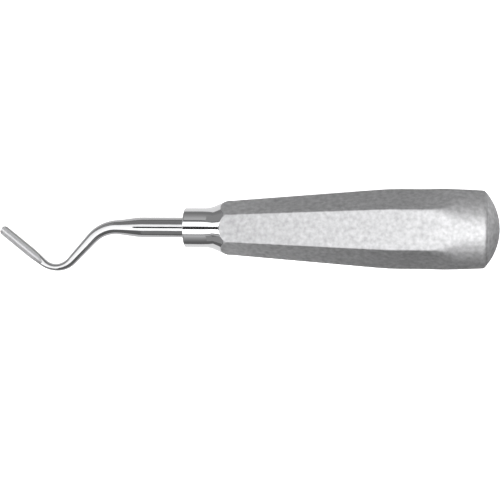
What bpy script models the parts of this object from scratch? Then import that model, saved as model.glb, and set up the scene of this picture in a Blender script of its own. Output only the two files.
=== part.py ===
"""Cranked root-tip elevator for dental surgery, lying on one flat of its hollow six-sided handle.

Three pieces: a forged working end (gouge blade, double-bent shank and tang), a hollow handle
shell with a turned collar, and a domed end cap. Metres, +Z up, and the butt points to +X.

Each piece is modelled in the instrument's own frame. There the handle's axis is Z, Z = 0 is the
front face of the collar and +Z runs to the butt. The crank lies in the YZ plane, the blade's
groove opens to -X, and +X is the side that the instrument lies on. The rest_pose empty turns
that frame so that the +X flat lies on the floor.
"""

import math

import bmesh
import bpy
from mathutils import Vector

MM = 0.001

# Collar: the polished front of the handle
COLLAR_RADIUS = 5.9 * MM
COLLAR_EDGE_ROUND = 0.2 * MM
COLLAR_LENGTH = 7.5 * MM  # to the foot of the flare, before its hollow is rounded in
FLARE_ROOT_ROUND = 8.2 * MM
FLARE_SHOULDER_ROUND = 11.3 * MM

# Handle: a turned blank with six flats milled on a taper
HANDLE_LENGTH = 92.7 * MM  # collar face to the top of the dome
SHOULDER_AT = 12.3 * MM
SHOULDER_RADIUS = 8.06 * MM
BELLY_START = 55.5 * MM
BELLY_AT = 70.0 * MM  # the handle is thickest here
BELLY_RADIUS = 11.87 * MM
BELLY_CURVE = 318 * MM  # radius of the long curve that rounds the belly
FLATS = 6
FLAT_RADIUS = 6.95 * MM  # axis to a flat, at the shoulder
FLAT_TAPER = math.radians(3.87)
BUTT_EDGE_ROUND = 0.9 * MM
WALL = 1.2 * MM
NECK_LENGTH = 16.0 * MM  # solid metal round the tang, behind the collar face
CAVITY_CONE = 3.5 * MM  # length of the conical front end of the hollow

# End cap
DOME_RADIUS = 16.7 * MM
CAP_RADIUS = 10.6 * MM
CAP_SPIGOT_RADIUS = 9.6 * MM
CAP_SPIGOT_LENGTH = 3.5 * MM
CAP_SPIGOT_CHAMFER = 0.4 * MM
CAP_SPIGOT_WALL = 1.5 * MM
CAP_RECESS = 3.8 * MM

# Shank: its centreline, by the corners that its two bends round off
SHANK_STRAIGHT = 25.6 * MM  # collar face to the first corner
UPPER_BEND = math.radians(47.1)
UPPER_BEND_ROUND = 10.9 * MM
OFFSET_LEG = 20.0 * MM  # first corner to the second
LOWER_BEND = math.radians(85.3)
LOWER_BEND_ROUND = 6.5 * MM
BLADE_LEG = 22.8 * MM  # second corner to the tip

# Shank: its thickness, as diameters and widths
SHANK_DIAMETER = 6.0 * MM
SHANK_PARALLEL = 12.9 * MM  # the length that keeps the full diameter
DIAMETER_INTO_UPPER_BEND = 4.35 * MM
DIAMETER_OUT_OF_UPPER_BEND = 3.5 * MM
DIAMETER_INTO_LOWER_BEND = 2.8 * MM
NECK_WIDTH = 2.1 * MM
NECK_THICKNESS = 2.4 * MM
NECK_PLACE = 0.7  # share of the lower bend that lies before its slimmest point

# Tang, pressed into the collar
TANG_DIAMETER = 5.0 * MM
TANG_LENGTH = 15.0 * MM
TANG_CHAMFER = 0.5 * MM
SHANK_INLET = 1.2 * MM  # how far the full shank runs into the collar

# Blade: a gouge, its groove ground by a wheel with a rounded rim
BLADE_WIDTH = 2.95 * MM
BLADE_FLARE = 5.6 * MM  # end of the lower bend to the full width
BLADE_FACE_HEIGHT = 0.95 * MM  # from the centreline to the lips
BLADE_BACK_HEIGHT = 1.0 * MM  # from the centreline to the back
BLADE_SQUARENESS = 3  # exponent of its superellipse section; a round section has 2
TIP_BACK_HEIGHT = 0.45 * MM
TIP_ROUND = 1.3 * MM
TIP_SQUARENESS = 2.5
GROOVE_LENGTH = 15.8 * MM
GROOVE_FLOOR = -0.05 * MM  # height of its floor over the centreline
GROOVE_OFFSET = 0.25 * MM  # its floor lies this far towards the outside of the crank
GROOVE_NOSE_ROUND = 0.7 * MM
GROOVE_FLANK = math.radians(34)
WHEEL_RADIUS = 5.0 * MM
WHEEL_LIFT = math.radians(60)  # its rim is followed this far round, clear of the blade

# Fits and placing
SEAT_GAP = 0.3 * MM
REST_POINT = 45.2 * MM  # the origin lies on the lower flat, this far behind the collar face

# Fineness of the mesh
TURNED_STEPS = 72
BORED_STEPS = 36
ARC_STEPS = 8
EDGE_STEPS = 6
CURVE_STEPS = 10
SECTION_POINTS = 36
FORGED_STEP = 1.0 * MM
TIP_TURNS = [math.radians(a) for a in (20, 38, 54, 68, 79, 86)]
ROUND_SECTION = 2

FACE = Vector((-1, 0, 0))  # the side of the instrument that the groove opens to


def material(name, colour, roughness):
    """A steel: metallic, with its colour and roughness."""
    made = bpy.data.materials.new(name)
    made.use_nodes = True
    shader = made.node_tree.nodes["Principled BSDF"]
    shader.inputs["Base Color"].default_value = (*colour, 1)
    shader.inputs["Metallic"].default_value = 1
    shader.inputs["Roughness"].default_value = roughness
    return made


def new_object(name, mesh, collection):
    made = bpy.data.objects.new(name, mesh)
    collection.objects.link(made)
    return made


def hide(cutter):
    cutter.hide_render = True
    cutter.display_type = "WIRE"
    return cutter


def apply_modifiers(made):
    """Turns the object's modifiers into its own mesh."""
    bpy.context.view_layer.update()
    graph = bpy.context.evaluated_depsgraph_get()
    made.data = bpy.data.meshes.new_from_object(made.evaluated_get(graph))
    made.modifiers.clear()


def boolean(made, cutter, operation):
    step = made.modifiers.new(cutter.name, "BOOLEAN")
    step.operation = operation
    step.object = cutter
    step.solver = "EXACT"


def shade(made, finish):
    """Round surfaces smooth, edges sharp."""
    made.data.materials.clear()
    made.data.materials.append(finish)
    made.data.shade_smooth()
    made.data.set_sharp_from_angle(angle=math.radians(20))


# Profiles


def arc(centre, radius, start, end, steps):
    """Points (r, z) on a circle from the start angle to the end angle. Angle 0 points along +r."""
    angles = [start + (end - start) * n / steps for n in range(steps + 1)]
    return [(centre[0] + radius * math.cos(a), centre[1] + radius * math.sin(a)) for a in angles]


def rounded(corners, rounds):
    """The open line through corners (r, z), with each inner corner rounded to its radius."""
    points = [corners[0]]
    for before, corner, after, radius in zip(corners, corners[1:], corners[2:], rounds):
        here = Vector(corner)
        towards = (Vector(before) - here).normalized()
        away = (Vector(after) - here).normalized()
        half = towards.angle(away) / 2
        centre = here + (towards + away).normalized() * radius / math.sin(half)
        first = here + towards * radius / math.tan(half) - centre
        last = here + away * radius / math.tan(half) - centre
        turn = first.angle_signed(last)
        start = math.atan2(first.y, first.x)
        points += arc(centre, radius, start, start - turn, ARC_STEPS)
    points.append(corners[-1])
    return points


def belly_radius(z):
    """Radius of the turned blank on the long curve round its belly."""
    return BELLY_RADIUS - BELLY_CURVE + math.sqrt(BELLY_CURVE**2 - (z - BELLY_AT) ** 2)


def side_radius(z):
    """Radius of the turned blank on its straight side, between shoulder and belly."""
    rise = belly_radius(BELLY_START) - SHOULDER_RADIUS
    return SHOULDER_RADIUS + rise * (z - SHOULDER_AT) / (BELLY_START - SHOULDER_AT)


def flat_radius(z):
    """Axis to the middle of a flat."""
    return FLAT_RADIUS + math.tan(FLAT_TAPER) * (z - SHOULDER_AT)


def dome_centre():
    return HANDLE_LENGTH - DOME_RADIUS


def dome_height(radius):
    """Height of the dome at a distance from the axis."""
    return dome_centre() + math.sqrt(DOME_RADIUS**2 - radius**2)


def shell_end():
    """Height of the rear face that the cap is welded to."""
    return dome_height(CAP_RADIUS) - SEAT_GAP


def butt_edge():
    """The rounded edge between the belly and the dome, then the dome down to the rear face."""
    z = shell_end()
    for _ in range(8):  # the belly narrows a little on the way, so its radius is found by steps
        side = belly_radius(z) - BUTT_EDGE_ROUND
        z = dome_centre() + math.sqrt((DOME_RADIUS - BUTT_EDGE_ROUND) ** 2 - side**2)
    to_dome = math.atan2(z - dome_centre(), side)
    edge = arc((side, z), BUTT_EDGE_ROUND, 0, to_dome, EDGE_STEPS)
    rear = math.asin((shell_end() - dome_centre()) / DOME_RADIUS)
    dome = arc((0, dome_centre()), DOME_RADIUS, to_dome, rear, EDGE_STEPS // 2)
    return edge, dome[1:]


def blank_profile(inset):
    """Side of the turned blank from front to rear, each point moved in by the inset."""
    shoulder = (SHOULDER_RADIUS, SHOULDER_AT)
    front = rounded(
        [
            (0, 0),
            (COLLAR_RADIUS, 0),
            (COLLAR_RADIUS, COLLAR_LENGTH),
            shoulder,
            (belly_radius(BELLY_START), BELLY_START),
        ],
        [COLLAR_EDGE_ROUND, FLARE_ROOT_ROUND, FLARE_SHOULDER_ROUND],
    )
    edge, dome = butt_edge()
    span = edge[0][1] - BELLY_START
    heights = [BELLY_START + span * n / CURVE_STEPS for n in range(1, CURVE_STEPS)]
    belly = [(belly_radius(z), z) for z in heights]
    return [(r - inset, z) for r, z in front + belly + edge + dome]


def turned(name, profile, steps, collection):
    """A solid turned about Z from a profile (r, z) that starts and ends on the axis."""
    mesh = bpy.data.meshes.new(name)
    points = [(r, 0, z) for r, z in reversed(profile)]
    mesh.from_pydata(points, [(n, n + 1) for n in range(len(points) - 1)], [])
    made = new_object(name, mesh, collection)
    screw = made.modifiers.new("turn", "SCREW")
    screw.axis = "Z"
    screw.steps = steps
    screw.render_steps = steps
    screw.use_merge_vertices = True
    screw.merge_threshold = 0.001 * MM
    screw.use_smooth_shade = True
    return made


def six_flats(name, inset, collection):
    """The six-sided taper that the flats lie on, one flat facing +X, longer than the handle."""
    front = -SHOULDER_AT
    rear = HANDLE_LENGTH + SHOULDER_AT
    mesh = bpy.data.meshes.new(name)
    shape = bmesh.new()
    to_corner = 1 / math.cos(math.pi / FLATS)
    bmesh.ops.create_cone(
        shape,
        cap_ends=True,
        segments=FLATS,
        radius1=(flat_radius(front) - inset) * to_corner,
        radius2=(flat_radius(rear) - inset) * to_corner,
        depth=rear - front,
    )
    bmesh.ops.translate(shape, vec=(0, 0, (front + rear) / 2), verts=shape.verts)
    shape.to_mesh(mesh)
    shape.free()
    made = hide(new_object(name, mesh, collection))
    made.rotation_euler.z = turn_to_flat(mesh)
    return made


def turn_to_flat(mesh):
    """Turn about Z that brings a flat of the cone to face +X."""
    corner = mesh.vertices[0].co
    return math.pi / FLATS - math.atan2(corner.y, corner.x)


# Handle


def cavity_profile():
    """The hollow of the shell: a cone behind the neck, the blank less the wall, and the mouth."""
    bore = TANG_DIAMETER / 2 + SEAT_GAP
    cone_end = NECK_LENGTH + CAVITY_CONE
    front = [(0, NECK_LENGTH), (bore, NECK_LENGTH), (side_radius(cone_end) - WALL, cone_end)]
    mouth = CAP_SPIGOT_RADIUS + SEAT_GAP
    shoulder = shell_end() - CAP_SPIGOT_LENGTH + SEAT_GAP
    side = [p for p in blank_profile(WALL) if cone_end < p[1] < shoulder - CAVITY_CONE]
    beyond = shell_end() + WALL
    return front + side + [(mouth, shoulder), (mouth, beyond), (0, beyond)]


def bore_profile():
    """The hole that takes the tang, wider at its mouth for the full shank."""
    mouth = SHANK_DIAMETER / 2 + SEAT_GAP
    bore = TANG_DIAMETER / 2 + SEAT_GAP
    seat = SHANK_INLET + SEAT_GAP
    beyond = NECK_LENGTH + WALL
    return [(0, -WALL), (mouth, -WALL), (mouth, seat), (bore, seat), (bore, beyond), (0, beyond)]


def handle_shell(parts, cutters):
    side = blank_profile(0)
    blank = turned("handle_shell", [*side, (0, side[-1][1])], TURNED_STEPS, parts)
    boolean(blank, six_flats("outer_flats", 0, cutters), "INTERSECT")
    core = turned("cavity", cavity_profile(), BORED_STEPS, cutters)
    boolean(core, six_flats("inner_flats", WALL, cutters), "INTERSECT")
    apply_modifiers(core)
    boolean(blank, hide(core), "DIFFERENCE")
    boolean(blank, hide(turned("tang_bore", bore_profile(), BORED_STEPS, cutters)), "DIFFERENCE")
    apply_modifiers(blank)
    return blank


def end_cap(parts):
    """The domed cap. Its own origin is on the axis, where its rim meets the shell."""
    rim = dome_height(CAP_RADIUS)
    start = math.asin((rim - dome_centre()) / DOME_RADIUS)
    dome = arc((0, dome_centre() - rim), DOME_RADIUS, start, math.pi / 2, CURVE_STEPS)
    foot = -SEAT_GAP - CAP_SPIGOT_LENGTH
    recess = CAP_SPIGOT_RADIUS - CAP_SPIGOT_WALL
    spigot = [
        (0, foot + CAP_RECESS),
        (recess, foot + CAP_RECESS),
        (recess, foot),
        (CAP_SPIGOT_RADIUS - CAP_SPIGOT_CHAMFER, foot),
        (CAP_SPIGOT_RADIUS, foot + CAP_SPIGOT_CHAMFER),
        (CAP_SPIGOT_RADIUS, 0),
    ]
    cap = turned("end_cap", spigot + dome[:-1] + [(0, dome[-1][1])], TURNED_STEPS, parts)
    apply_modifiers(cap)
    cap.location.z = rim
    return cap


# Working end


def bend_tangent(angle, radius):
    """From a corner to where its bend begins."""
    return radius * math.tan(angle / 2)


def landmarks():
    """Distances along the centreline from the collar face: both ends of each bend, and the tip."""
    upper_cut = bend_tangent(UPPER_BEND, UPPER_BEND_ROUND)
    lower_cut = bend_tangent(LOWER_BEND, LOWER_BEND_ROUND)
    upper_in = SHANK_STRAIGHT - upper_cut
    upper_out = upper_in + UPPER_BEND * UPPER_BEND_ROUND
    lower_in = upper_out + OFFSET_LEG - upper_cut - lower_cut
    lower_out = lower_in + LOWER_BEND * LOWER_BEND_ROUND
    return upper_in, upper_out, lower_in, lower_out, lower_out + BLADE_LEG - lower_cut


def heading(distance):
    """Unit vectors at a distance along the centreline: forwards, and across it in the crank's plane."""
    upper_in, _, lower_in, _, _ = landmarks()
    upper = min(max((distance - upper_in) / UPPER_BEND_ROUND, 0), UPPER_BEND)
    lower = min(max((distance - lower_in) / LOWER_BEND_ROUND, 0), LOWER_BEND)
    angle = lower - upper  # negative dips towards -Y, positive climbs
    return Vector((0, math.sin(angle), -math.cos(angle))), Vector((0, math.cos(angle), math.sin(angle)))


def centre(distance):
    """The centreline's point at a distance from the collar face."""
    upper_in, upper_out, lower_in, lower_out, _ = landmarks()
    point = Vector((0, 0, 0))
    begin = 0
    for end, radius in (
        (upper_in, 0),
        (upper_out, UPPER_BEND_ROUND),
        (lower_in, 0),
        (lower_out, -LOWER_BEND_ROUND),
        (math.inf, 0),
    ):
        stop = min(distance, end)
        if radius:
            point += radius * (heading(stop)[1] - heading(begin)[1])
        else:
            point += heading(begin)[0] * (stop - begin)
        if distance <= end:
            return point
        begin = end
    return point


def smooth_steps(rows, distance):
    """Values between rows (distance, value, ...), without overshoot (monotone cubic)."""
    if distance <= rows[0][0]:
        return rows[0][1:]
    if distance >= rows[-1][0]:
        return rows[-1][1:]
    n = next(i for i in range(len(rows) - 1) if distance <= rows[i + 1][0])
    low, high = rows[n], rows[n + 1]
    span = high[0] - low[0]
    t = (distance - low[0]) / span
    values = []
    for column in range(1, len(low)):
        out = slope(rows, n, column) * span
        into = slope(rows, n + 1, column) * span
        rise = high[column] - low[column]
        bend = (3 * rise - 2 * out - into) * t**2 + (out + into - 2 * rise) * t**3
        values.append(low[column] + out * t + bend)
    return tuple(values)


def slope(rows, n, column):
    """Slope of a column at row n: the harmonic mean of its two sides, or level at a peak."""
    if n in (0, len(rows) - 1):
        return 0
    sides = [
        (b[column] - a[column]) / (b[0] - a[0])
        for a, b in ((rows[n - 1], rows[n]), (rows[n], rows[n + 1]))
    ]
    if sides[0] * sides[1] <= 0:
        return 0
    return 2 * sides[0] * sides[1] / (sides[0] + sides[1])


def forging_rows():
    """Rows of (distance, half width, height of the face, height of the back, squareness)."""
    upper_in, upper_out, lower_in, lower_out, tip = landmarks()
    neck = lower_in + NECK_PLACE * (lower_out - lower_in)
    slim = NECK_THICKNESS / 2
    full = lower_out + BLADE_FLARE

    def round_row(distance, diameter):
        return distance, diameter / 2, diameter / 2, diameter / 2, ROUND_SECTION

    return [
        round_row(-SHANK_INLET, SHANK_DIAMETER),
        round_row(SHANK_PARALLEL, SHANK_DIAMETER),
        round_row(upper_in, DIAMETER_INTO_UPPER_BEND),
        round_row(upper_out, DIAMETER_OUT_OF_UPPER_BEND),
        round_row(lower_in, DIAMETER_INTO_LOWER_BEND),
        (neck, NECK_WIDTH / 2, slim, slim, ROUND_SECTION),
        (full, BLADE_WIDTH / 2, BLADE_FACE_HEIGHT, BLADE_BACK_HEIGHT, BLADE_SQUARENESS),
        (tip, BLADE_WIDTH / 2, BLADE_FACE_HEIGHT, TIP_BACK_HEIGHT, BLADE_SQUARENESS),
    ]


def section_angles():
    return [2 * math.pi * n / SECTION_POINTS for n in range(SECTION_POINTS)]


def squared(share, squareness):
    """A sine or cosine moved outwards, as on a superellipse of that exponent."""
    return math.copysign(abs(share) ** (2 / squareness), share)


def section(distance, narrowing=1):
    """Ring of points round the forging: a superellipse, higher on one side than on the other."""
    half_width, face, back, squareness = smooth_steps(forging_rows(), distance)
    across = heading(distance)[1] * half_width * narrowing
    middle = centre(distance)
    ring = []
    for angle in section_angles():
        rise = squared(math.sin(angle), squareness)
        height = rise * (face if rise > 0 else back)
        ring.append(middle + across * squared(math.cos(angle), squareness) + FACE * height)
    return ring


def tang_rings():
    """The round tang behind the shank's shoulder, from its end forwards."""
    radius = TANG_DIAMETER / 2
    ends = [
        (TANG_LENGTH, radius - TANG_CHAMFER),
        (TANG_LENGTH - TANG_CHAMFER, radius),
        (SHANK_INLET, radius),
    ]
    angles = section_angles()
    return [[Vector((-r * math.sin(a), r * math.cos(a), z)) for a in angles] for z, r in ends]


def tip_distances(tip):
    """Sections over the rounded tip, as (distance, share of the width)."""
    share = 2 / TIP_SQUARENESS
    return [(tip - TIP_ROUND * (1 - math.sin(a)), math.cos(a) ** share) for a in TIP_TURNS]


def loft(name, rings, collection):
    """A closed mesh through rings with as many points each, with a cap on both ends."""
    size = len(rings[0])
    shape = bmesh.new()
    rows = [[shape.verts.new(p) for p in ring] for ring in rings]
    for row, following in zip(rows, rows[1:]):
        for n in range(size):
            after = (n + 1) % size
            shape.faces.new((row[n], row[after], following[after], following[n]))
    shape.faces.new(reversed(rows[0]))
    shape.faces.new(rows[-1])
    bmesh.ops.recalc_face_normals(shape, faces=shape.faces)
    mesh = bpy.data.meshes.new(name)
    shape.to_mesh(mesh)
    shape.free()
    return new_object(name, mesh, collection)


def wheel_outline():
    """The grinding wheel's rim as (side, height over the floor): two flanks and a round nose."""
    reach = 2 * BLADE_WIDTH
    run = GROOVE_NOSE_ROUND * math.sin(GROOVE_FLANK)
    rise = GROOVE_NOSE_ROUND * (1 - math.cos(GROOVE_FLANK))
    top = rise + (reach - run) * math.tan(GROOVE_FLANK)
    nose = []
    for n in range(-EDGE_STEPS, EDGE_STEPS + 1):
        angle = GROOVE_FLANK * n / EDGE_STEPS
        nose.append((GROOVE_NOSE_ROUND * math.sin(angle), GROOVE_NOSE_ROUND * (1 - math.cos(angle))))
    return [(-reach, top), *nose, (reach, top)]


def groove_cutter(collection):
    """What the wheel takes away: its rim run along the blade from past the tip, then lifted off."""
    tip = landmarks()[-1]
    lift_at = tip - GROOVE_LENGTH + lift_run()
    forwards, across = heading(tip)
    start = centre(lift_at) - across * GROOVE_OFFSET + FACE * GROOVE_FLOOR
    hub = start + FACE * WHEEL_RADIUS
    frames = [(start + forwards * (tip - lift_at + BLADE_WIDTH), FACE)]
    for n in range(CURVE_STEPS + 1):
        lift = WHEEL_LIFT * n / CURVE_STEPS
        out = math.cos(lift) * FACE + math.sin(lift) * forwards
        frames.append((hub - out * WHEEL_RADIUS, out))
    outline = wheel_outline()
    rings = [[floor + across * side + up * height for side, height in outline] for floor, up in frames]
    return hide(loft("groove", rings, collection))


def lift_run():
    """From where the wheel starts to lift to where it leaves the face of the blade."""
    depth = BLADE_FACE_HEIGHT - GROOVE_FLOOR
    return math.sqrt(WHEEL_RADIUS**2 - (WHEEL_RADIUS - depth) ** 2)


def working_end(parts, cutters):
    tip = landmarks()[-1]
    rounding = tip - TIP_ROUND
    count = math.ceil((rounding + SHANK_INLET) / FORGED_STEP)
    step = (rounding + SHANK_INLET) / count
    rings = tang_rings()
    rings += [section(-SHANK_INLET + n * step) for n in range(count + 1)]
    rings += [section(distance, share) for distance, share in tip_distances(tip)]
    forging = loft("working_end", rings, parts)
    boolean(forging, groove_cutter(cutters), "DIFFERENCE")
    apply_modifiers(forging)
    return forging


def rest_pose(collection):
    """Lays the instrument down: its +X flat faces the floor, with the rest point at the origin."""
    pose = bpy.data.objects.new("rest_pose", None)
    collection.objects.link(pose)
    pose.rotation_euler.y = math.pi / 2 - FLAT_TAPER
    foot = Vector((flat_radius(REST_POINT), 0, REST_POINT))
    pose.location = -(pose.rotation_euler.to_matrix() @ foot)
    return pose


def main():
    for old in list(bpy.data.objects):
        bpy.data.objects.remove(old)
    parts = bpy.data.collections.new("root_elevator")
    cutters = bpy.data.collections.new("cutters")
    for collection in (parts, cutters):
        bpy.context.scene.collection.children.link(collection)
    polished = material("polished_steel", (0.78, 0.78, 0.79), 0.08)
    blasted = material("blasted_steel", (0.62, 0.62, 0.63), 0.5)
    made = {
        working_end(parts, cutters): polished,
        handle_shell(parts, cutters): blasted,
        end_cap(parts): blasted,
    }
    pose = rest_pose(parts)
    for piece, finish in made.items():
        shade(piece, finish)
        piece.parent = pose
    for cutter in cutters.objects:
        cutter.parent = pose


main()
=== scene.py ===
"""Looks of the cranked root elevator: finer pieces over the CAD nodes, steels, floor and light.

Lengths are metres. The pieces are shaped in the instrument's own frame, as in the CAD source: the
handle's axis is Z, Z = 0 is the front face of the collar, +Z runs to the butt, the crank lies in
the YZ plane and the groove opens to -X. REST turns that frame into the row frame.
"""

import math

import bmesh
import bpy
from mathutils import Matrix, Vector
from mathutils.kdtree import KDTree

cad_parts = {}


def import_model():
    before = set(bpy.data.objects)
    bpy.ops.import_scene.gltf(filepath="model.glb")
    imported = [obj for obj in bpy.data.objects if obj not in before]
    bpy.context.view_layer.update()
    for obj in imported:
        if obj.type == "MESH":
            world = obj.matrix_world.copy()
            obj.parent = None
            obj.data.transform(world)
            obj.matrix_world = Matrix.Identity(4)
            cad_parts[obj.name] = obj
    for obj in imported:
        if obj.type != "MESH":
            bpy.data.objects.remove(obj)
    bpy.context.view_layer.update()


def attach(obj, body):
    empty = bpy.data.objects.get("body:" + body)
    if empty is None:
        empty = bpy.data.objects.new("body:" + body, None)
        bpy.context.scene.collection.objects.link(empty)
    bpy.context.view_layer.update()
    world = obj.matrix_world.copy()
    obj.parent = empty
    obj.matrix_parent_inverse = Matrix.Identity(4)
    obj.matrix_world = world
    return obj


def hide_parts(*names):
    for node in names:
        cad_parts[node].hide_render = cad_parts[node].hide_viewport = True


MM = 0.001

# Sizes, the same as in the CAD source
COLLAR_RADIUS = 5.9 * MM
COLLAR_EDGE_ROUND = 0.2 * MM
COLLAR_LENGTH = 7.5 * MM
FLARE_ROOT_ROUND = 8.2 * MM
HANDLE_LENGTH = 92.7 * MM
SHOULDER_AT = 12.3 * MM
SHOULDER_RADIUS = 8.06 * MM
BELLY_START = 55.5 * MM
BELLY_AT = 70.0 * MM
BELLY_RADIUS = 11.87 * MM
BELLY_CURVE = 318 * MM
FLATS = 6
FLAT_RADIUS = 6.95 * MM
FLAT_TAPER = math.radians(3.87)
WALL = 1.2 * MM
NECK_LENGTH = 16.0 * MM
CAVITY_CONE = 3.5 * MM
DOME_RADIUS = 16.7 * MM
CAP_RADIUS = 10.6 * MM
CAP_SPIGOT_RADIUS = 9.6 * MM
CAP_SPIGOT_LENGTH = 3.5 * MM
CAP_SPIGOT_CHAMFER = 0.4 * MM
CAP_SPIGOT_WALL = 1.5 * MM
CAP_RECESS = 3.8 * MM
SHANK_STRAIGHT = 25.6 * MM
UPPER_BEND = math.radians(47.1)
UPPER_BEND_ROUND = 10.9 * MM
OFFSET_LEG = 20.0 * MM
LOWER_BEND = math.radians(85.3)
LOWER_BEND_ROUND = 6.5 * MM
BLADE_LEG = 22.8 * MM
SHANK_DIAMETER = 6.0 * MM
SHANK_PARALLEL = 12.9 * MM
DIAMETER_INTO_UPPER_BEND = 4.35 * MM
DIAMETER_OUT_OF_UPPER_BEND = 3.5 * MM
DIAMETER_INTO_LOWER_BEND = 2.8 * MM
NECK_WIDTH = 2.1 * MM
NECK_THICKNESS = 2.4 * MM
NECK_PLACE = 0.7
TANG_DIAMETER = 5.0 * MM
TANG_LENGTH = 15.0 * MM
TANG_CHAMFER = 0.5 * MM
SHANK_INLET = 1.2 * MM
BLADE_WIDTH = 2.95 * MM
BLADE_FLARE = 5.6 * MM
BLADE_FACE_HEIGHT = 0.95 * MM
BLADE_BACK_HEIGHT = 1.0 * MM
BLADE_SQUARENESS = 3
TIP_BACK_HEIGHT = 0.45 * MM
TIP_ROUND = 1.3 * MM
TIP_SQUARENESS = 2.5
GROOVE_FLOOR = -0.05 * MM
GROOVE_OFFSET = 0.25 * MM
GROOVE_NOSE_ROUND = 0.7 * MM
GROOVE_FLANK = math.radians(34)
WHEEL_RADIUS = 5.0 * MM
WHEEL_LIFT = math.radians(60)
SEAT_GAP = 0.3 * MM
REST_POINT = 45.2 * MM
ROUND_SECTION = 2
FACE = Vector((-1, 0, 0))

# Finer than the solids: sizes
LOWER_FLAT = 0  # the flat that the instrument lies on is straight, the others run out
RUN_OUT_AT = 14.6 * MM  # in front of this the flats curve up to meet the flare
RUN_OUT_CURVE = 0.055 / MM
FLAT_STOP = 10.27 * MM  # the taper of the flats ends at this radius
FLAT_STOP_ROUND = 0.25 * MM
REAR_RUN_OUT_AT = 69 * MM  # behind this the flats curve up again, to the round butt
REAR_RUN_OUT_CURVE = 0.0105 / MM
CORNER_ROUND = 0.3 * MM  # between two flats
CREASE_ROUND = 0.012 * MM  # between a flat and the round side, in front of the belly
REAR_CREASE_ROUND = 0.16 * MM  # the same on the belly
REAR_CREASE_AT = 61 * MM  # behind this it grows softer, up to the limit
REAR_CREASE_GROWTH = 0.04
REAR_CREASE_LIMIT = 0.75 * MM
FLARE_TOP = 12.7 * MM  # where the flare meets the straight side
FLARE_TOP_ROUND = 6.5 * MM
BUTT_EDGE_ROUND = 1.3 * MM
MOUTH_BREAK = 0.15 * MM
SEAM_GAP = 0.05 * MM
BLAST_LIMIT = 12.6 * MM  # behind this the round side is blasted too
BLAST_LIMIT_SLOPE = 0.5  # how fast the blasting sets in there
GROOVE_LENGTH = 16.4 * MM

# Finer than the solids: steps
SECTOR = math.pi / FLATS  # half of the angle that a flat takes
CORNER_SPAN = math.radians(1.4)  # the least that is left for the round side
LEAST_FLAT = math.radians(1.5)  # the least that is left for half a flat
FLAT_SHARES = (0, 0.2, 0.4, 0.6, 0.78, 0.9, 0.96, 0.985)
ROUND_SHARES = (0, 0.03, 0.1, 0.25, 0.42, 0.58, 0.74, 0.88)
FINE_ROWS = (10.4 * MM, 14.8 * MM)  # rings are closest together round the flats' front ends
FINE_STEP = 0.08 * MM
SIDE_STEP = 0.35 * MM
BELLY_STEP = 0.25 * MM
HOLLOW_STEP = 1 * MM
ARC_STEPS = 14
EDGE_STEPS = 12
EDGE_PASSES = 8  # enough for the butt's rounded edge to find its place
DOME_STEPS = 60
TURNED_STEPS = 180
SECTION_POINTS = 96
FORGED_STEP = 0.22 * MM
TIP_STEPS = 22
TIP_TURN = math.radians(88)
LIFT_STEPS = 40
STATIONS = 800
SHARP_ANGLE = math.radians(35)  # an edge that turns by more stays sharp

# Steels: a noise is its scale and detail, and any other pair is the two ends of a range
TINT = (1.0, 1.0, 1.015)
MIDDLE = (0.3, 0.7)  # nearly all of a noise lies between these
MOTTLE = (0.8, 3)
SPECK = (6, 2)
GRAIN = (9, 3)
GRAIN_DEPTH = 0.006 * MM
BLAST_EDGE = (0.005, 0.035)  # millimetres that a flat is cut deep where its blasting sets in
BLAST_EDGE_NOISE = (4, 2)
BLAST_EDGE_RAGGED = 0.03
BLAST_ALONG = (12, 95)  # millimetres behind the collar's face
BLAST_ROUGHNESS = (0.62, 0.50)
BLAST_ROUGHNESS_MOTTLE = 0.10
BRIGHTER_ALONG = (66, 84)  # millimetres behind the collar's face
BRIGHTER_REAR = (1, 1.15)
HANDLE_TONE = (0.225, 0.39, 0.06)  # least brightness, share of the mottle, share of the specks
CAP_TONE = (0.30, 0.52, 0.08)
CAP_ROUGHNESS = (0.46, 0.58)
COLLAR_STRETCH = (2, 2, 0.2)
COLLAR_LINES = (1.5, 4)
COLLAR_ROUGHNESS = (0.035, 0.075)
COLLAR_TONE = 0.60
SHANK_STRETCH = (0.25, 3, 3)
SHANK_LINES = (2.0, 4)
SHANK_ROUGHNESS = (0.05, 0.11)
SHANK_TONE = (0.40, 0.45)
SHANK_LINE_DEPTH = 0.002 * MM
CRANK_ALONG = (20, 27)  # millimetres along the forging, from the collar's face
CRANK_SHADE = (1, 0.92)
GROUND_STRETCH = (0.8, 5, 5)
GROUND_LINES = (1.6, 3)
GROUND_SPOTS = (2.2, 3)
GROUND_ROUGHNESS = (0.48, 0.62)
GROUND_TONE = (0.34, 0.44)
GROUND_LINE_TONE = 0.14
GROUND_LINE_DEPTH = 0.004 * MM

# Studio: the camera looks down from above, from a little behind the middle of the picture
BACK = Vector((-math.sin(FLAT_TAPER), 0, math.cos(FLAT_TAPER)))
AXIS = Vector((math.cos(FLAT_TAPER), 0, math.sin(FLAT_TAPER)))
CAMERA_DISTANCE = 0.4157
CAMERA_LEAN = math.radians(8.2)  # from square to the handle's axis, towards the butt
CAMERA_SIDE_LEAN = math.radians(2.2)  # towards +Y
CAMERA_NEAR = 10 * MM
SENSOR_WIDTH = 36  # millimetres, as Blender wants it
FRAME_WIDTH = 148.86 * MM
VIEW_CENTRE = Vector((0, -6.55 * MM, 19.52 * MM))  # in the instrument's frame
ROLL = math.radians(0.19)
ROOM_RADIUS = 5
ROOM_SEGMENTS = 96
FLOOR_DROP = -0.02 * MM
FLOOR_WHITE = 0.8
FLOOR_LIGHT = 0.75
BACKDROP_LIGHT = 1
FLAG_DISTANCE = 30 * MM
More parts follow.
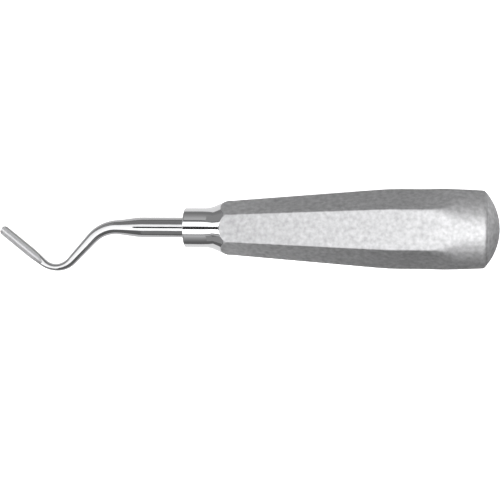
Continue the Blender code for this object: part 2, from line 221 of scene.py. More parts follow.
# Dark flags: degrees round the axis, half width, span forwards of the collar's face, light
FLAGS = {
    "flag_above": (-0.2, 4.5 * MM, (-3.5 * MM, 29 * MM), 0.06),
    "flag_left": (52.7, 9.4 * MM, (4.9 * MM, 34 * MM), 0.37),
    "flag_right": (-61, 9.8 * MM, (4.9 * MM, 20 * MM), 0.38),
    "flag_leg": (-61, 9.8 * MM, (20 * MM, 45 * MM), 0.24),
}
# The floor that the polished steel shows: its half width and its light, by place along the axis
GLOW_EDGE = [(95 * MM, 29 * MM), (-3 * MM, 29 * MM), (-110 * MM, 85 * MM)]
GLOW_LIGHT = [(-110 * MM, 1.05), (9 * MM, 1.05), (13 * MM, 0.55), (95 * MM, 0.2)]
BRIGHTEST = 2.9  # of the lights in GLOW_LIGHT and SKY
# Light by the angle round the handle's axis: 0 is straight up, positive towards +Y
SKY = [
    (-180, 0.22),
    (-130, 0.16),
    (-92, 0.18),
    (-76, 0.31),
    (-62, 0.47),
    (-50, 0.68),
    (-43.5, 0.70),
    (-41.5, 0.28),
    (-38, 0.28),
    (-35, 2.9),
    (34, 1.9),
    (37, 0.15),
    (43, 0.15),
    (46.5, 0.60),
    (57, 0.64),
    (75, 0.42),
    (90, 0.30),
    (104, 0.28),
    (114, 0.66),
    (150, 0.66),
    (180, 0.30),
]


# Shapes, as in the CAD source


def arc(centre, radius, start, end, steps):
    """Points (r, z) on a circle from the start angle to the end angle. Angle 0 points along +r."""
    angles = [start + (end - start) * n / steps for n in range(steps + 1)]
    return [(centre[0] + radius * math.cos(a), centre[1] + radius * math.sin(a)) for a in angles]


def rounded(corners, rounds):
    """The open line through corners (r, z), with each inner corner rounded to its radius."""
    points = [corners[0]]
    for before, corner, after, radius in zip(corners, corners[1:], corners[2:], rounds):
        here = Vector(corner)
        towards = (Vector(before) - here).normalized()
        away = (Vector(after) - here).normalized()
        half = towards.angle(away) / 2
        centre = here + (towards + away).normalized() * radius / math.sin(half)
        first = here + towards * radius / math.tan(half) - centre
        last = here + away * radius / math.tan(half) - centre
        turn = first.angle_signed(last)
        start = math.atan2(first.y, first.x)
        points += arc(centre, radius, start, start - turn, ARC_STEPS)
    points.append(corners[-1])
    return points


def belly_radius(z):
    return BELLY_RADIUS - BELLY_CURVE + math.sqrt(BELLY_CURVE**2 - (z - BELLY_AT) ** 2)


def side_radius(z):
    rise = belly_radius(BELLY_START) - SHOULDER_RADIUS
    return SHOULDER_RADIUS + rise * (z - SHOULDER_AT) / (BELLY_START - SHOULDER_AT)


def flat_radius(z):
    return FLAT_RADIUS + math.tan(FLAT_TAPER) * (z - SHOULDER_AT)


def dome_centre():
    return HANDLE_LENGTH - DOME_RADIUS


def dome_height(radius):
    return dome_centre() + math.sqrt(DOME_RADIUS**2 - radius**2)


def shell_end():
    return dome_height(CAP_RADIUS) - SEAT_GAP


def seam():
    """Height of the shell's rear edge here: the cap's seat is closed but for a hairline."""
    return dome_height(CAP_RADIUS) - SEAM_GAP


def butt_edge():
    """The rounded edge between the belly and the dome, then the dome down to the rear face."""
    z = seam()
    for _ in range(EDGE_PASSES):
        side = belly_radius(z) - BUTT_EDGE_ROUND
        z = dome_centre() + math.sqrt((DOME_RADIUS - BUTT_EDGE_ROUND) ** 2 - side**2)
    to_dome = math.atan2(z - dome_centre(), side)
    edge = arc((side, z), BUTT_EDGE_ROUND, 0, to_dome, EDGE_STEPS)
    rear = math.asin((seam() - dome_centre()) / DOME_RADIUS)
    dome = arc((0, dome_centre()), DOME_RADIUS, to_dome, rear, EDGE_STEPS // 2)
    return edge, dome[1:]


def bend_tangent(angle, radius):
    return radius * math.tan(angle / 2)


def landmarks():
    """Distances along the centreline from the collar face: both ends of each bend, and the tip."""
    upper_cut = bend_tangent(UPPER_BEND, UPPER_BEND_ROUND)
    lower_cut = bend_tangent(LOWER_BEND, LOWER_BEND_ROUND)
    upper_in = SHANK_STRAIGHT - upper_cut
    upper_out = upper_in + UPPER_BEND * UPPER_BEND_ROUND
    lower_in = upper_out + OFFSET_LEG - upper_cut - lower_cut
    lower_out = lower_in + LOWER_BEND * LOWER_BEND_ROUND
    return upper_in, upper_out, lower_in, lower_out, lower_out + BLADE_LEG - lower_cut


def heading(distance):
    """Unit vectors at a place on the centreline: forwards, and across it in the crank's plane."""
    upper_in, _, lower_in, _, _ = landmarks()
    upper = min(max((distance - upper_in) / UPPER_BEND_ROUND, 0), UPPER_BEND)
    lower = min(max((distance - lower_in) / LOWER_BEND_ROUND, 0), LOWER_BEND)
    sine = math.sin(lower - upper)
    cosine = math.cos(lower - upper)
    return Vector((0, sine, -cosine)), Vector((0, cosine, sine))


def centre(distance):
    """The centreline's point at a distance from the collar face."""
    upper_in, upper_out, lower_in, lower_out, _ = landmarks()
    point = Vector((0, 0, 0))
    begin = 0
    for end, radius in (
        (upper_in, 0),
        (upper_out, UPPER_BEND_ROUND),
        (lower_in, 0),
        (lower_out, -LOWER_BEND_ROUND),
        (math.inf, 0),
    ):
        stop = min(distance, end)
        if radius:
            point += radius * (heading(stop)[1] - heading(begin)[1])
        else:
            point += heading(begin)[0] * (stop - begin)
        if distance <= end:
            return point
        begin = end
    return point


def slope(rows, n, column):
    """Slope of a column at row n: the harmonic mean of its two sides, or level at a peak."""
    if n in (0, len(rows) - 1):
        return 0
    sides = [
        (b[column] - a[column]) / (b[0] - a[0])
        for a, b in ((rows[n - 1], rows[n]), (rows[n], rows[n + 1]))
    ]
    if sides[0] * sides[1] <= 0:
        return 0
    return 2 * sides[0] * sides[1] / (sides[0] + sides[1])


def smooth_steps(rows, distance):
    """Values between rows (distance, value, ...), without overshoot (monotone cubic)."""
    if distance <= rows[0][0]:
        return rows[0][1:]
    if distance >= rows[-1][0]:
        return rows[-1][1:]
    n = next(i for i in range(len(rows) - 1) if distance <= rows[i + 1][0])
    low, high = rows[n], rows[n + 1]
    span = high[0] - low[0]
    t = (distance - low[0]) / span
    values = []
    for column in range(1, len(low)):
        out = slope(rows, n, column) * span
        into = slope(rows, n + 1, column) * span
        rise = high[column] - low[column]
        bend = (3 * rise - 2 * out - into) * t**2 + (out + into - 2 * rise) * t**3
        values.append(low[column] + out * t + bend)
    return tuple(values)


def forging_rows():
    """Rows of (distance, half width, height of the face, height of the back, squareness)."""
    upper_in, upper_out, lower_in, lower_out, tip = landmarks()
    neck = lower_in + NECK_PLACE * (lower_out - lower_in)
    slim = NECK_THICKNESS / 2
    full = lower_out + BLADE_FLARE

    def round_row(distance, diameter):
        return distance, diameter / 2, diameter / 2, diameter / 2, ROUND_SECTION

    return [
        round_row(-SHANK_INLET, SHANK_DIAMETER),
        round_row(SHANK_PARALLEL, SHANK_DIAMETER),
        round_row(upper_in, DIAMETER_INTO_UPPER_BEND),
        round_row(upper_out, DIAMETER_OUT_OF_UPPER_BEND),
        round_row(lower_in, DIAMETER_INTO_LOWER_BEND),
        (neck, NECK_WIDTH / 2, slim, slim, ROUND_SECTION),
        (full, BLADE_WIDTH / 2, BLADE_FACE_HEIGHT, BLADE_BACK_HEIGHT, BLADE_SQUARENESS),
        (tip, BLADE_WIDTH / 2, BLADE_FACE_HEIGHT, TIP_BACK_HEIGHT, BLADE_SQUARENESS),
    ]


def turn_angles(count):
    return [2 * math.pi * n / count for n in range(count)]


def squared(share, squareness):
    """A sine or cosine moved outwards, as on a superellipse of that exponent."""
    return math.copysign(abs(share) ** (2 / squareness), share)


def section(distance, narrowing=1):
    """Ring of points round the forging: a superellipse, higher on one side than on the other."""
    half_width, face, back, squareness = smooth_steps(forging_rows(), distance)
    across = heading(distance)[1] * half_width * narrowing
    middle = centre(distance)
    ring = []
    for angle in turn_angles(SECTION_POINTS):
        rise = squared(math.sin(angle), squareness)
        height = rise * (face if rise > 0 else back)
        ring.append(middle + across * squared(math.cos(angle), squareness) + FACE * height)
    return ring


def wheel_outline():
    """The grinding wheel's rim as (side, height over the floor): two flanks and a round nose."""
    reach = 2 * BLADE_WIDTH
    nose = []
    for n in range(-EDGE_STEPS, EDGE_STEPS + 1):
        angle = GROOVE_FLANK * n / EDGE_STEPS
        height = GROOVE_NOSE_ROUND * (1 - math.cos(angle))
        nose.append((GROOVE_NOSE_ROUND * math.sin(angle), height))
    run, rise = nose[-1]
    top = rise + (reach - run) * math.tan(GROOVE_FLANK)
    return [(-reach, top), *nose, (reach, top)]


def lift_run():
    """From where the wheel starts to lift to where it leaves the face of the blade."""
    depth = BLADE_FACE_HEIGHT - GROOVE_FLOOR
    return math.sqrt(WHEEL_RADIUS**2 - (WHEEL_RADIUS - depth) ** 2)


# Meshes


def rest_matrix():
    """From the instrument's frame to the row frame."""
    turn = Matrix.Rotation(math.pi / 2 - FLAT_TAPER, 4, "Y")
    foot = turn @ Vector((flat_radius(REST_POINT), 0, REST_POINT))
    return Matrix.Translation(-foot) @ turn


REST = rest_matrix()


def make(name, shape):
    """An object from a bmesh in the instrument's frame, with its mesh put in the row frame."""
    bmesh.ops.recalc_face_normals(shape, faces=shape.faces)
    mesh = bpy.data.meshes.new(name)
    shape.to_mesh(mesh)
    shape.free()
    mesh.transform(REST)
    made = bpy.data.objects.new(name, mesh)
    bpy.context.scene.collection.objects.link(made)
    return made


def skin(shape, row, following):
    """Faces between two rings with as many vertices each."""
    for n in range(len(row)):
        after = (n + 1) % len(row)
        shape.faces.new((row[n], row[after], following[after], following[n]))


def fan(shape, row, height):
    """Faces between a ring and a new vertex on the axis."""
    pole = shape.verts.new((0, 0, height))
    for n in range(len(row)):
        shape.faces.new((row[n], row[(n + 1) % len(row)], pole))


def finish_piece(made, node, slot, *materials):
    """Smooths a piece except at its sharp edges, and says which CAD node it takes the place of."""
    made.data.shade_smooth()
    made.data.set_sharp_from_angle(angle=SHARP_ANGLE)
    for material in materials:
        made.data.materials.append(material)
    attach(made, "root")
    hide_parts(node)


# Handle


def soft_least(a, b, blend):
    """The smaller of two lengths, blended where they are nearly the same."""
    share = max(blend - abs(a - b), 0) / blend
    return min(a, b) - share**2 * blend / 4


def flat_reach(side, z):
    """From the axis to the middle of one flat. All but the lower one run out at both ends."""
    if side % FLATS == LOWER_FLAT:
        return flat_radius(z)
    front = RUN_OUT_CURVE * max(0, RUN_OUT_AT - z) ** 2
    rear = REAR_RUN_OUT_CURVE * max(0, z - REAR_RUN_OUT_AT) ** 2
    return soft_least(flat_radius(z), FLAT_STOP, FLAT_STOP_ROUND) + front + rear


def crease_round(z):
    """How softly the edge between a flat and the round side is broken there."""
    if z < BELLY_START:
        return CREASE_ROUND
    growth = REAR_CREASE_GROWTH * max(0, z - REAR_CREASE_AT)
    return min(REAR_CREASE_ROUND + growth, REAR_CREASE_LIMIT)


def half_sector(turned, flat):
    """Angles from the middle of a flat to a corner, close together at the flat's own edge."""
    edge = math.acos(min(flat / turned, 1))
    edge = min(max(edge, LEAST_FLAT), SECTOR - CORNER_SPAN)
    inner = [edge * share for share in FLAT_SHARES]
    return inner + [edge + (SECTOR - edge) * share for share in ROUND_SHARES]


def handle_ring(turned, inset, z):
    """Points round the handle from the flat that faces +X, each with how deep it is cut there."""
    ring = []
    crease = crease_round(z)
    for side in range(FLATS):
        flat = flat_reach(side, z) - inset
        half = half_sector(turned, flat)
        for angle in [-SECTOR, *[-a for a in reversed(half[1:])], *half]:
            beside = flat_reach(side + 1 if angle > 0 else side - 1, z) - inset
            here = flat / math.cos(angle)
            there = beside / math.cos(2 * SECTOR - abs(angle))
            radius = soft_least(soft_least(here, there, CORNER_ROUND), turned, crease)
            turn = 2 * SECTOR * side + angle
            point = Vector((radius * math.cos(turn), radius * math.sin(turn), z))
            ring.append((point, turned - min(here, there)))
    return ring


def spread(start, end, step):
    """Heights from start to end, about a step apart, without the end."""
    count = max(1, round(abs(end - start) / step))
    return [start + (end - start) * n / count for n in range(count)]


def row_step(z):
    """How close together the handle's rings are."""
    if FINE_ROWS[0] <= z < FINE_ROWS[1]:
        return FINE_STEP
    return BELLY_STEP if z >= BELLY_START else SIDE_STEP


def outer_profile():
    """The turned blank from the collar's mouth to the cap's seat, in fine steps."""
    front = rounded(
        [
            (COLLAR_RADIUS - WALL, 0),
            (COLLAR_RADIUS, 0),
            (COLLAR_RADIUS, COLLAR_LENGTH),
            (side_radius(FLARE_TOP), FLARE_TOP),
            (belly_radius(BELLY_START), BELLY_START),
        ],
        [COLLAR_EDGE_ROUND, FLARE_ROOT_ROUND, FLARE_TOP_ROUND],
    )
    edge, dome = butt_edge()
    line = front[:-1] + [(side_radius(FINE_ROWS[1]), FINE_ROWS[1])]
    line += [(belly_radius(z), z) for z in spread(BELLY_START, edge[0][1], BELLY_STEP)]
    fine = []
    for (r0, z0), (r1, z1) in zip(line, line[1:]):
        count = max(1, round(math.hypot(r1 - r0, z1 - z0) / row_step(z0)))
        fine += [(r0 + (r1 - r0) * n / count, z0 + (z1 - z0) * n / count) for n in range(count)]
    return fine + [line[-1]] + edge + dome


def inner_profile():
    """The hollow, from the cap's seat back to the collar's mouth."""
    mouth = CAP_SPIGOT_RADIUS + SEAT_GAP
    shoulder = shell_end() - CAP_SPIGOT_LENGTH + SEAT_GAP
    cone_end = NECK_LENGTH + CAVITY_CONE
    bore = TANG_DIAMETER / 2 + SEAT_GAP
    inlet = SHANK_DIAMETER / 2 + SEAT_GAP
    seat = SHANK_INLET + SEAT_GAP
    belly = spread(shoulder - SEAT_GAP, BELLY_START, HOLLOW_STEP)
    side = spread(BELLY_START, cone_end, HOLLOW_STEP)
    rows = [(mouth, seam()), (mouth, shoulder)]
    rows += [(belly_radius(z) - WALL, z) for z in belly]
    rows += [(side_radius(z) - WALL, z) for z in side]
    rows += [(side_radius(cone_end) - WALL, cone_end), (bore, NECK_LENGTH)]
    rows += [(bore, seat), (inlet, seat), (inlet, MOUTH_BREAK), (inlet + MOUTH_BREAK, 0)]
    return rows


def build_handle():
    """The shell, with how deep each point lies in the blasting stored in millimetres."""
    rings = [handle_ring(r, 0, z) for r, z in outer_profile()]
    rings += [handle_ring(r, WALL, z) for r, z in inner_profile()]
    shape = bmesh.new()
    rows = [[shape.verts.new(point) for point, _ in ring] for ring in rings]
    for row, following in zip(rows, rows[1:] + rows[:1]):
        skin(shape, row, following)
    made = make("handle", shape)
    blast = []
    for ring in rings:
        blast += [max(cut, (p.z - BLAST_LIMIT) * BLAST_LIMIT_SLOPE) / MM for p, cut in ring]
    made.data.attributes.new("blast", "FLOAT", "POINT").data.foreach_set("value", blast)
    return made


# End cap


def build_cap():
    rim = dome_height(CAP_RADIUS)
    start = math.asin((rim - dome_centre()) / DOME_RADIUS)
    foot = rim - SEAT_GAP - CAP_SPIGOT_LENGTH
    recess = CAP_SPIGOT_RADIUS - CAP_SPIGOT_WALL
    profile = [
        (recess, foot + CAP_RECESS),
        (recess, foot),
        (CAP_SPIGOT_RADIUS - CAP_SPIGOT_CHAMFER, foot),
        (CAP_SPIGOT_RADIUS, foot + CAP_SPIGOT_CHAMFER),
        (CAP_SPIGOT_RADIUS, rim),
    ]
    profile += arc((0, dome_centre()), DOME_RADIUS, start, math.pi / 2, DOME_STEPS)[:-1]
    turns = turn_angles(TURNED_STEPS)
    shape = bmesh.new()
    rows = []
    for r, z in profile:
        rows.append([shape.verts.new((r * math.cos(a), r * math.sin(a), z)) for a in turns])
    fan(shape, rows[0], foot + CAP_RECESS)
    for row, following in zip(rows, rows[1:]):
        skin(shape, row, following)
    fan(shape, rows[-1], HANDLE_LENGTH)
    return make("cap", shape)


# Working end


def loft(name, rings):
    """A closed mesh through rings with as many points each, with a cap on both ends."""
    shape = bmesh.new()
    rows = [[shape.verts.new(point) for point in ring] for ring in rings]
    for row, following in zip(rows, rows[1:]):
        skin(shape, row, following)
    shape.faces.new(reversed(rows[0]))
    shape.faces.new(rows[-1])
    return make(name, shape)


def tang_rings():
    radius = TANG_DIAMETER / 2
    ends = [
        (TANG_LENGTH, radius - TANG_CHAMFER),
        (TANG_LENGTH - TANG_CHAMFER, radius),
        (SHANK_INLET, radius),
    ]
    turns = turn_angles(SECTION_POINTS)
    return [[Vector((-r * math.sin(a), r * math.cos(a), z)) for a in turns] for z, r in ends]


def groove_rings():
    """What the wheel takes away: its rim run along the blade from past the tip, then lifted off."""
    tip = landmarks()[-1]
    lift_at = tip - GROOVE_LENGTH + lift_run()
    forwards, across = heading(tip)
    start = centre(lift_at) - across * GROOVE_OFFSET + FACE * GROOVE_FLOOR
    hub = start + FACE * WHEEL_RADIUS
    frames = [(start + forwards * (tip - lift_at + BLADE_WIDTH), FACE)]
    for n in range(LIFT_STEPS + 1):
        lift = WHEEL_LIFT * n / LIFT_STEPS
        out = math.cos(lift) * FACE + math.sin(lift) * forwards
        frames.append((hub - out * WHEEL_RADIUS, out))
    rim = wheel_outline()
    return [[floor + across * side + up * height for side, height in rim] for floor, up in frames]


def forging_rings():
    """Rings from the end of the tang to the tip, which is rounded off in its own steps."""
    tip = landmarks()[-1]
    rounding = tip - TIP_ROUND
    count = math.ceil((rounding + SHANK_INLET) / FORGED_STEP)
    step = (rounding + SHANK_INLET) / count
    rings = tang_rings()
    rings += [section(-SHANK_INLET + n * step) for n in range(count + 1)]
    for n in range(1, TIP_STEPS):
        turn = TIP_TURN * math.sin(math.pi / 2 * n / (TIP_STEPS - 1))
        distance = tip - TIP_ROUND * (1 - math.sin(turn))
        rings.append(section(distance, math.cos(turn) ** (2 / TIP_SQUARENESS)))
    return rings


def cut(forging, cutter):
    """Takes the cutter away from the forging. The cut faces keep the cutter's material."""
    step = forging.modifiers.new("groove", "BOOLEAN")
    step.operation = "DIFFERENCE"
    step.object = cutter
    step.solver = "EXACT"
    step.material_mode = "TRANSFER"
    bpy.context.view_layer.update()
    graph = bpy.context.evaluated_depsgraph_get()
    mesh = bpy.data.meshes.new_from_object(forging.evaluated_get(graph))
    forging.modifiers.clear()
    forging.data = mesh
    bpy.data.objects.remove(cutter)


def straightened(mesh):
    """Stores where each point lies along and across the bent forging, in millimetres."""
    tip = landmarks()[-1]
    stations = [-TANG_LENGTH + (tip + TANG_LENGTH) * n / STATIONS for n in range(STATIONS + 1)]
    tree = KDTree(len(stations))
    for n, distance in enumerate(stations):
        tree.insert(centre(distance), n)
    tree.balance()
    back = REST.inverted()
    values = []
    for vertex in mesh.vertices:
        point = back @ vertex.co
        middle, n, _ = tree.find(point)
        forwards, across = heading(stations[n])
        off = point - middle
        along = stations[n] + off.dot(forwards)
        values += [along / MM, off.dot(across) / MM, off.dot(FACE) / MM]
    mesh.attributes.new("lie", "FLOAT_VECTOR", "POINT").data.foreach_set("vector", values)


def build_working_end(polished, ground):
    made = loft("gouge_and_shank", forging_rings())
    cutter = loft("groove", groove_rings())
    made.data.materials.append(polished)
    cutter.data.materials.append(ground)
    cut(made, cutter)
    straightened(made.data)
    return made


# Materials


def node(tree, kind, *inputs, **settings):
    """A new node. Each input is a number, a vector or a socket to link, or None to leave it."""
    made = tree.nodes.new("ShaderNode" + kind)
    for name, value in settings.items():
        setattr(made, name, value)
    for socket, value in zip(made.inputs, inputs):
        if isinstance(value, bpy.types.NodeSocket):
            tree.links.new(value, socket)
        elif value is not None:
            socket.default_value = value
    return made


def maths(tree, operation, *inputs):
    return node(tree, "Math", *inputs, operation=operation).outputs[0]


def scaled(tree, value, span, results, kind="LINEAR"):
    """Maps a value from one range to another, clamped."""
    return node(tree, "MapRange", value, *span, *results, interpolation_type=kind).outputs[0]


def mixed(tree, share, first, second):
    """The first value where the share is 0, and the second where it is 1."""
    return node(tree, "Mix", share, None, first, second, data_type="FLOAT").outputs[0]


def noise(tree, vector, scale, detail):
    made = node(tree, "TexNoise", vector)
    made.inputs["Scale"].default_value = scale
    made.inputs["Detail"].default_value = detail
    return made.outputs["Fac"]


def stretched(tree, vector, factors):
    return node(tree, "VectorMath", vector, factors, operation="MULTIPLY").outputs[0]


def coordinate(tree, vector, axis):
    """One coordinate of a vector."""
    return node(tree, "SeparateXYZ", vector).outputs[axis]


def instrument_place(tree):
    """The instrument's own coordinates, in millimetres."""
    place = node(tree, "TexCoord").outputs["Object"]
    turn = node(tree, "Mapping", place, vector_type="TEXTURE")
    turn.inputs["Location"].default_value = REST.to_translation()
    turn.inputs["Rotation"].default_value = REST.to_euler()
    return stretched(tree, turn.outputs[0], (1 / MM, 1 / MM, 1 / MM))


def forging_place(tree):
    """Places along and across the forging as if it were straight, in millimetres."""
    return node(tree, "Attribute", attribute_name="lie").outputs["Vector"]


def new_material(name):
    """A material, its node tree and its shader."""
    made = bpy.data.materials.new(name)
    made.use_nodes = True
    return made, made.node_tree, made.node_tree.nodes["Principled BSDF"]


def join_steel(tree, shader, roughness, tone, relief, depth):
    """Makes the shader a slightly cool metal of that roughness, brightness and surface relief."""
    shader.inputs["Metallic"].default_value = 1
    tree.links.new(roughness, shader.inputs["Roughness"])
    tree.links.new(stretched(tree, tone, TINT), shader.inputs["Base Color"])
    bump = node(tree, "Bump")
    bump.inputs["Distance"].default_value = depth
    tree.links.new(relief, bump.inputs["Height"])
    tree.links.new(bump.outputs[0], shader.inputs["Normal"])


def blasted_tone(tree, place, mottle, least, mottle_share, speck_share):
    """Brightness of blasted steel: broad mottling with finer specks in it."""
    broad = maths(tree, "MULTIPLY_ADD", mottle, mottle_share, least)
    return maths(tree, "MULTIPLY_ADD", noise(tree, place, *SPECK), speck_share, broad)


def handle_steel():
    """Blasted steel on the six flats and the belly, mirror polish on the collar."""
    made, tree, shader = new_material("handle_steel")
    place = instrument_place(tree)
    along = coordinate(tree, place, "Z")
    depth = node(tree, "Attribute", attribute_name="blast").outputs["Fac"]
    edge = noise(tree, place, *BLAST_EDGE_NOISE)
    ragged = maths(tree, "MULTIPLY_ADD", edge, BLAST_EDGE_RAGGED, depth)
    blasted = scaled(tree, ragged, BLAST_EDGE, (0, 1))
    mottle = noise(tree, place, *MOTTLE)
    even = scaled(tree, along, BLAST_ALONG, BLAST_ROUGHNESS)
    matt = maths(tree, "MULTIPLY_ADD", mottle, BLAST_ROUGHNESS_MOTTLE, even)
    lines = noise(tree, stretched(tree, place, COLLAR_STRETCH), *COLLAR_LINES)
    roughness = mixed(tree, blasted, scaled(tree, lines, MIDDLE, COLLAR_ROUGHNESS), matt)
    tone = blasted_tone(tree, place, mottle, *HANDLE_TONE)
    rear = scaled(tree, along, BRIGHTER_ALONG, BRIGHTER_REAR, "SMOOTHSTEP")
    tone = mixed(tree, blasted, COLLAR_TONE, maths(tree, "MULTIPLY", tone, rear))
    grain = maths(tree, "MULTIPLY", noise(tree, place, *GRAIN), blasted)
    join_steel(tree, shader, roughness, tone, grain, GRAIN_DEPTH)
    return made


def cap_steel():
    """The blasted steel of the cap."""
    made, tree, shader = new_material("cap_steel")
    place = instrument_place(tree)
    mottle = noise(tree, place, *MOTTLE)
    roughness = scaled(tree, mottle, (0, 1), CAP_ROUGHNESS)
    tone = blasted_tone(tree, place, mottle, *CAP_TONE)
    join_steel(tree, shader, roughness, tone, noise(tree, place, *GRAIN), GRAIN_DEPTH)
    return made


def shank_steel():
    """Mirror-polished steel, with the faint lengthwise lines of the polishing wheel."""
    made, tree, shader = new_material("shank_steel")
    place = forging_place(tree)
    lines = noise(tree, stretched(tree, place, SHANK_STRETCH), *SHANK_LINES)
    roughness = scaled(tree, lines, MIDDLE, SHANK_ROUGHNESS)
    along = coordinate(tree, place, "X")
    crank = scaled(tree, along, CRANK_ALONG, CRANK_SHADE, "SMOOTHSTEP")
    tone = maths(tree, "MULTIPLY", scaled(tree, lines, MIDDLE, SHANK_TONE), crank)
    join_steel(tree, shader, roughness, tone, lines, SHANK_LINE_DEPTH)
    return made


def ground_steel():
    """The matt ground groove of the blade, with its grinding lines."""
    made, tree, shader = new_material("ground_steel")
    place = forging_place(tree)
    lines = noise(tree, stretched(tree, place, GROUND_STRETCH), *GROUND_LINES)
    spots = noise(tree, place, *GROUND_SPOTS)
    roughness = scaled(tree, spots, MIDDLE, GROUND_ROUGHNESS)
    broad = scaled(tree, spots, MIDDLE, GROUND_TONE)
    tone = maths(tree, "MULTIPLY_ADD", lines, GROUND_LINE_TONE, broad)
    join_steel(tree, shader, roughness, tone, lines, GROUND_LINE_DEPTH)
    return made


# Studio


def stage_plate(name, mesh_maker, *, base, emission):
    """A stage object from a function that fills a bmesh, with a matt grey that can glow."""
    shape = bmesh.new()
    mesh_maker(shape)
    mesh = bpy.data.meshes.new(name)
    shape.to_mesh(mesh)
    shape.free()
    material, _, shader = new_material(name)
    shader.inputs["Base Color"].default_value = (base, base, base, 1)
    shader.inputs["Roughness"].default_value = 1
    shader.inputs["Specular IOR Level"].default_value = 0
    shader.inputs["Emission Color"].default_value = (1, 1, 1, 1)
    shader.inputs["Emission Strength"].default_value = emission
    mesh.materials.append(material)
    made = bpy.data.objects.new(name, mesh)
    bpy.context.scene.collection.objects.link(made)
    return made


def disc(shape):
    bmesh.ops.create_circle(shape, cap_ends=True, segments=ROOM_SEGMENTS, radius=ROOM_RADIUS)


def wall(shape):
    bmesh.ops.create_cone(
        shape,
        segments=ROOM_SEGMENTS,
        radius1=ROOM_RADIUS,
        radius2=ROOM_RADIUS,
        depth=2 * ROOM_RADIUS,
    )


def plate(shape):
    bmesh.ops.create_grid(shape, x_segments=1, y_segments=1, size=1)


def row_x(z):
    """Where a place on the handle's axis lies along the row frame's X."""
    return (REST @ Vector((0, 0, z))).x


def glow_shape(shape):
    """A sheet just over the floor, as wide as GLOW_EDGE says on both sides of the axis."""
    edge = GLOW_EDGE + [(along, -side) for along, side in reversed(GLOW_EDGE)]
    corners = [(row_x(along), side, FLOOR_DROP / 2) for along, side in edge]
    shape.faces.new([shape.verts.new(corner) for corner in corners])


def light_ramp(tree, share, stops):
    """Light by a share of 0 to 1, from stops (share, light), as parts of the brightest light."""
    ramp = node(tree, "ValToRGB", share)
    elements = ramp.color_ramp.elements
    while len(elements) > 1:
        elements.remove(elements[0])
    for n, (position, light) in enumerate(stops):
        stop = elements[0] if n == 0 else elements.new(position)
        stop.position = position
        part = light / BRIGHTEST
        stop.color = (part, part, part, 1)
    return ramp.outputs[0]


def build_glow():
    """The bright floor ahead of the handle and the handle's own shade under it, as a card."""
    card = stage_plate("glow", glow_shape, base=0, emission=BRIGHTEST)
    tree = card.data.materials[0].node_tree
    along = coordinate(tree, node(tree, "TexCoord").outputs["Object"], "X")
    low, high = row_x(GLOW_LIGHT[0][0]), row_x(GLOW_LIGHT[-1][0])
    stops = [((row_x(z) - low) / (high - low), light) for z, light in GLOW_LIGHT]
    light = light_ramp(tree, scaled(tree, along, (low, high), (0, 1)), stops)
    tree.links.new(light, tree.nodes["Principled BSDF"].inputs["Emission Color"])
    return card


def build_flag(name, degrees, half_width, span, light):
    """A dark card that faces the shank from FLAG_DISTANCE away."""
    card = stage_plate(name, plate, base=0, emission=light)
    forwards, across = heading(0)
    turn = math.radians(degrees)
    out = FACE * math.cos(turn) + across * math.sin(turn)
    middle = forwards * sum(span) / 2 + out * FLAG_DISTANCE
    facing = Matrix((forwards, out.cross(forwards), out)).transposed().to_4x4()
    card.matrix_world = REST @ Matrix.Translation(middle) @ facing
    card.scale = ((span[1] - span[0]) / 2, half_width, 1)
    return card


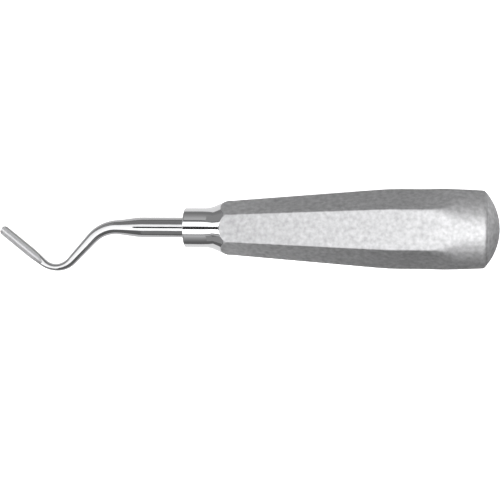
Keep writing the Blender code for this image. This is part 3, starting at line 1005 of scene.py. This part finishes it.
def build_room():
    """A pale floor, a pale wall far behind it, and what only the polished steel shows."""
    floor = stage_plate("floor", disc, base=FLOOR_WHITE, emission=FLOOR_LIGHT)
    floor.location.z = FLOOR_DROP
    floor.visible_glossy = False
    backdrop = stage_plate("backdrop", wall, base=0, emission=BACKDROP_LIGHT)
    backdrop.visible_glossy = False
    backdrop.visible_diffuse = False
    backdrop.visible_shadow = False
    cards = [build_glow()]
    cards += [build_flag(name, *flag) for name, flag in FLAGS.items()]
    for card in cards:
        card.visible_camera = False
        card.visible_shadow = False
        card.visible_diffuse = False


def build_world():
    """Soft light by the angle round the axis: a long softbox above, and grey sides."""
    made = bpy.data.worlds.new("studio")
    bpy.context.scene.world = made
    made.use_nodes = True
    tree = made.node_tree
    place = node(tree, "TexCoord").outputs["Generated"]
    up = node(tree, "VectorMath", place, BACK, operation="DOT_PRODUCT").outputs["Value"]
    angle = maths(tree, "ARCTAN2", coordinate(tree, place, "Y"), up)
    share = maths(tree, "MULTIPLY_ADD", angle, 0.5 / math.pi, 0.5)
    stops = [(degrees / 360 + 0.5, light) for degrees, light in SKY]
    background = tree.nodes["Background"]
    background.inputs["Strength"].default_value = BRIGHTEST
    tree.links.new(light_ramp(tree, share, stops), background.inputs["Color"])


def build_camera():
    data = bpy.data.cameras.new("camera")
    data.sensor_width = SENSOR_WIDTH
    data.lens = SENSOR_WIDTH * CAMERA_DISTANCE / FRAME_WIDTH
    data.clip_start = CAMERA_NEAR
    data.clip_end = 2 * ROOM_RADIUS
    made = bpy.data.objects.new("camera", data)
    bpy.context.scene.collection.objects.link(made)
    towards = BACK * math.cos(CAMERA_LEAN) + AXIS * math.sin(CAMERA_LEAN)
    level = AXIS * math.cos(CAMERA_LEAN) - BACK * math.sin(CAMERA_LEAN)
    towards = towards * math.cos(CAMERA_SIDE_LEAN) + Vector((0, math.sin(CAMERA_SIDE_LEAN), 0))
    right = level * math.cos(ROLL) + towards.cross(level) * math.sin(ROLL)
    up = towards.cross(right)
    place = REST @ VIEW_CENTRE + towards * CAMERA_DISTANCE
    turn = Matrix((right, up, towards)).transposed().to_4x4()
    made.matrix_world = Matrix.Translation(place) @ turn
    bpy.context.scene.camera = made


def main():
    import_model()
    finish_piece(build_working_end(shank_steel(), ground_steel()), "working_end", "polished_steel")
    finish_piece(build_handle(), "handle_shell", "blasted_steel", handle_steel())
    finish_piece(build_cap(), "end_cap", "blasted_steel", cap_steel())
    build_room()
    build_world()
    build_camera()
    bpy.context.scene.view_settings.view_transform = "Standard"


main()
